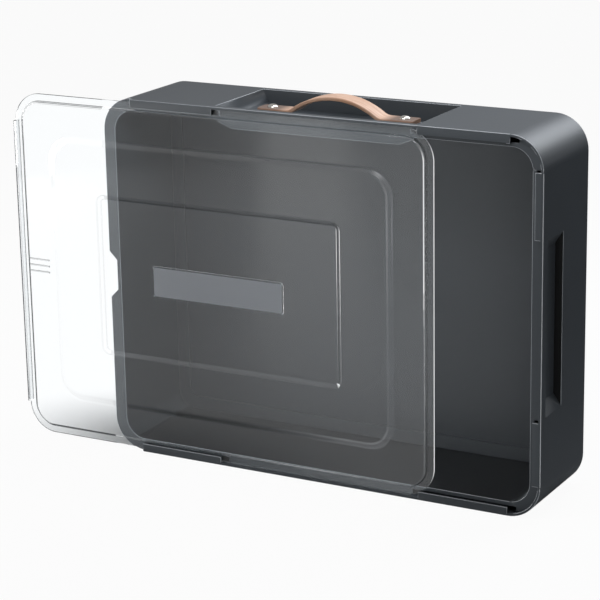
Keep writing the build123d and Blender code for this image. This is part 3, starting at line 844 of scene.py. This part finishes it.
# The label's field is blasted in the tool, so that its fine matt skin scatters a part of the light.
frosted, tree = new_material("frosted_moulded_styrene")
place = add(tree, "ShaderNodeTexCoord").outputs["Object"]
frost = add(tree, "ShaderNodeTexNoise", {"Vector": place, "Scale": 1 / (0.6 * mm), "Detail": 2})
skin = add(tree, "ShaderNodeMapRange", {0: frost.outputs["Fac"], 3: 0.3, 4: 0.42})
glass = add(tree, "ShaderNodeBsdfPrincipled",
            {"Base Color": colour("#f4f6f7"), "Roughness": skin.outputs[0], "IOR": styrene_ior,
             "Transmission Weight": 1.0})
milky = add(tree, "ShaderNodeBsdfDiffuse", {"Color": colour("#c4cad4")})
matt = add(tree, "ShaderNodeMixShader", {0: frost_share, 1: glass.outputs[0], 2: milky.outputs[0]})
let_lamps_through(tree, matt, "#c9cccd")

# Each rib is a ball, stretched out from its middle and flattened.
tree, sizes, end = geometry_tree("grip_ribs", "Length", "Width", "Rise", "Pitch")
half = add(tree, "ShaderNodeMath", {0: sizes["Width"], 1: 0.5}, operation="MULTIPLY")
ball = add(tree, "GeometryNodeMeshUVSphere", {"Segments": 20, "Rings": 14, "Radius": half.outputs[0]})
ball = add(tree, "GeometryNodeTransform", {"Geometry": ball.outputs[0], "Rotation": (0, pi / 2, 0)})
spot = add(tree, "ShaderNodeSeparateXYZ", {0: add(tree, "GeometryNodeInputPosition").outputs[0]})
side = add(tree, "ShaderNodeMath", {0: spot.outputs[0]}, operation="SIGN")
stretch = add(tree, "ShaderNodeMath", {0: sizes["Length"], 1: 0.5}, operation="MULTIPLY")
stretch = add(tree, "ShaderNodeMath", {0: stretch.outputs[0], 1: half.outputs[0]}, operation="SUBTRACT")
along = add(tree, "ShaderNodeMath", {0: side.outputs[0], 1: stretch.outputs[0], 2: spot.outputs[0]},
            operation="MULTIPLY_ADD")
flatter = add(tree, "ShaderNodeMath", {0: sizes["Rise"], 1: half.outputs[0]}, operation="DIVIDE")
depth = add(tree, "ShaderNodeMath", {0: spot.outputs[1], 1: flatter.outputs[0]}, operation="MULTIPLY")
spot = add(tree, "ShaderNodeCombineXYZ", {0: along.outputs[0], 1: depth.outputs[0], 2: spot.outputs[2]})
bead = add(tree, "GeometryNodeSetPosition", {"Geometry": ball.outputs[0], "Position": spot.outputs[0]})
step = add(tree, "ShaderNodeCombineXYZ", {2: sizes["Pitch"]})
row = add(tree, "GeometryNodeMeshLine",
          {"Count": rib_count, "Start Location": (rib_middle[0], rib_middle[1], rib_middle[2] - rib_pitch),
           "Offset": step.outputs[0]})
places = add(tree, "GeometryNodeInstanceOnPoints", {"Points": row.outputs[0], "Instance": bead.outputs[0]})
ending(tree, end, places.outputs[0], clear)
ribs = grown("grip_ribs", tree, clear,
             {"Length": rib_length, "Width": rib_width, "Rise": rib_rise, "Pitch": rib_pitch})

lid = new_object("clear_lid", lid_mesh, clear, frosted)
for extra in (lip, ribs):
    join = lid.modifiers.new("join", "BOOLEAN")
    join.operation = "UNION"
    join.solver = "EXACT"
    join.object = extra
joined = plain_mesh(lid, "clear_lid")
for extra in (lip, ribs):
    bpy.data.objects.remove(extra)
work = bmesh.new()
work.from_mesh(joined)
bmesh.ops.remove_doubles(work, verts=work.verts, dist=weld_gap)
bmesh.ops.dissolve_degenerate(work, edges=work.edges, dist=0.5 * weld_gap)

# Cuts across the sheet let a long face's painted glow and painted shade change along it. Three of them follow
# the body below: its outer side, its flange's inner edge, and a place a little way into the bay.
past_body = -223
flange_inner = -206
into_bay = -180
cuts = [((x, 0, 0), (1, 0, 0)) for x in (past_body, flange_inner, into_bay, *range(-80, 21, 20))]
cuts += [((0, 0, z), (0, 0, 1)) for z in range(75, 271, 15)]
for at, along in cuts:
    bmesh.ops.bisect_plane(work, geom=work.verts[:] + work.edges[:] + work.faces[:], dist=0.5 * weld_gap,
                           plane_co=[c * mm for c in at], plane_no=along)


def from_outline(spot, outline):
    """How far a spot lies outside of one of the lid's outlines, seen from the front."""
    amount, radius = outline
    across = abs(spot.x - lid_middle_x) - (lid_half_x - amount - radius)
    up = abs(spot.z - lid_middle_z) - (lid_half_z - amount - radius)
    return hypot(max(across, 0), max(up, 0)) + min(max(across, up), 0) - radius


def held(value, low, high):
    """A value held between two limits."""
    return min(high, max(low, value))


def peak(value, at, width):
    """A soft peak of 1 at a place, which fades over a width to both sides."""
    return exp(-((value - at) / width) ** 2)


# Past the body, where the ground is white, the sheet's edges and roundings get a painted shade, so they read
# dark.
lip_inner = lid_shift - 220.7
rim_zone = 9
ribs_end = -290
ribs_half = 8
level = 0.999


def dark_past_body(face, middle, narrow):
    """How much painted shade a face gets past the body."""
    if middle.x < lip_inner:
        return 0.75 if narrow else 0.0
    if abs(face.normal.y) >= level:
        return 0.0
    if max(abs(middle.x - lid_middle_x) - lid_half_x, abs(middle.z - lid_middle_z) - lid_half_z) > -rim_zone:
        if middle.y > rim_y - 0.1:
            return 0.85 if narrow or face.normal.z > 0.5 else 0.3
        return 0.06 if face.normal.z > 0.2 else 0.7 if narrow else 0.2
    if middle.x < ribs_end and abs(middle.z - rib_middle_z) < ribs_half:
        return 0.3
    return 0.12 if narrow else 0.0


# Over the body the steps get a painted glow and some a painted shade. Those of the inner panel and the label
# slope towards the middle, and the others away from it. The mid panel's step has its foot and top lines at
# these places across it.
inward_zone = (132, 82)
step_reach = (-6.5, 1)
foot_line = 0.0
top_line = -4.6
line_width = 1.2
inner_reach = (-5, 1)


def light_and_dark(face, middle, narrow):
    """A face's painted glow over the body, and its painted shade."""
    if abs(face.normal.y) < 0.5:
        # The rim's side gets a painted glow, brightest at the right, where the step's wall beside it gets a
        # painted shade.
        if rim_y - 0.1 < middle.y < rim_y + lid_sheet + 0.1:
            return 0.12 + 0.8 * max(0, face.normal.x) ** 6, 0.0
        return 0.0, 0.6 if middle.x > lid_middle_x + lid_half_x - rim_zone else 0.0
    if face.normal.y > 0 or abs(face.normal.y) > level:
        return 0.0, 0.0
    across, up = abs(middle.x - lid_middle_x), abs(middle.z - lid_middle_z)
    outward = Vector((face.normal.x, face.normal.z)).normalized()
    if across < inward_zone[0] and up < inward_zone[1]:
        outward = -outward
    to_right, downward, upward = max(0, outward.x), max(0, -outward.y), max(0, outward.y)
    over_flange = 0.08 if middle.x < flange_inner else 0.04 if middle.x < into_bay else 0.0
    off = from_outline(middle, mid_foot)
    if step_reach[0] < off < step_reach[1]:
        # The mid panel's step is the softest, with a painted pale line along both of its bends and a painted
        # highlight where its corner turns. Its foot gets a painted shade at the left and a painted glow at
        # the right.
        lit_part = held((middle.x + 70) / 100, 0, 1)
        fade = held((middle.z - 60) / 180, 0.5, 1)
        lines = 0.1 + 0.16 * peak(off, top_line, line_width) + 0.08 * peak(off, foot_line, line_width)
        corner = 0.5 * peak(degrees(atan2(outward.y, outward.x)), 60, 15) * peak(off, -1.5, 1.4)
        glow = lines * (fade * to_right ** 2 + downward * lit_part) + over_flange + corner
        foot = 0.25 * peak(off, -2, 2) * downward ** 4 * (1 - lit_part)
        shade = foot + 0.25 * peak(off, foot_line, line_width) * upward ** 4
        return glow, 0.0 if middle.x < flange_inner else shade
    if inner_reach[0] < from_outline(middle, inner_top) < inner_reach[1] and abs(outward.y) > 0.7:
        return (0.08 + over_flange, 0.0) if outward.y < 0 else (0.0, 0.18)
    if not narrow:
        return 0.0, 0.0
    if across < label_frame[0] + 0.5 and up < label_frame[1] + 0.5:
        return 0.3, 0.0
    # The wall round the face gets a painted glow at the right, less so lower down.
    right_end = middle.x > lid_middle_x + 200
    if middle.y < rim_y - 0.5:
        fade = held((middle.z - 150) / 50, 0.1, 1) if right_end else held((middle.z - 90) / 120, 0.35, 1)
        return 0.05 + 0.85 * to_right ** 8 * fade, 0.0
    return 0.0, 0.5 if right_end else 0.0


glow_layer = work.faces.layers.float.new("edge_glow")
shade_layer = work.faces.layers.float.new("edge_shade")
for face in work.faces:
    face.smooth = True
    middle = face.calc_center_median() / mm
    longest = max(face.edges, key=lambda e: e.calc_length())
    narrow = face.calc_area() < 0.5 * mm * longest.calc_length()
    in_field = (abs(middle.x - lid_middle_x) < label_field[0] + 0.2
                and abs(middle.z - lid_middle_z) < label_field[1] + 0.2)
    on_label = in_field and face.normal.y < -0.9 and middle.y < inner_y - 0.3
    face.material_index = 1 if on_label else 0
    if middle.x < past_body:
        face[shade_layer] = dark_past_body(face, middle, narrow)
    elif not on_label:
        face[glow_layer], face[shade_layer] = light_and_dark(face, middle, narrow)
work.to_mesh(joined)
work.free()
joined.set_sharp_from_angle(angle=radians(40))
flat = lid.modifiers.new("flat_faces_stay_flat", "WEIGHTED_NORMAL")
flat.keep_sharp = True
plain_mesh(lid, "clear_lid")
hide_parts("sliding_lid")
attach(lid, "lid")


# ---- Sizes and finish --------------------------------------------------------------------------
# The box of the CAD and that of the finished pieces, in metres.
bpy.context.view_layer.update()
sizes = {"cad": [list(corner) for corner in cad_box], "visual": [list(corner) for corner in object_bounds()]}
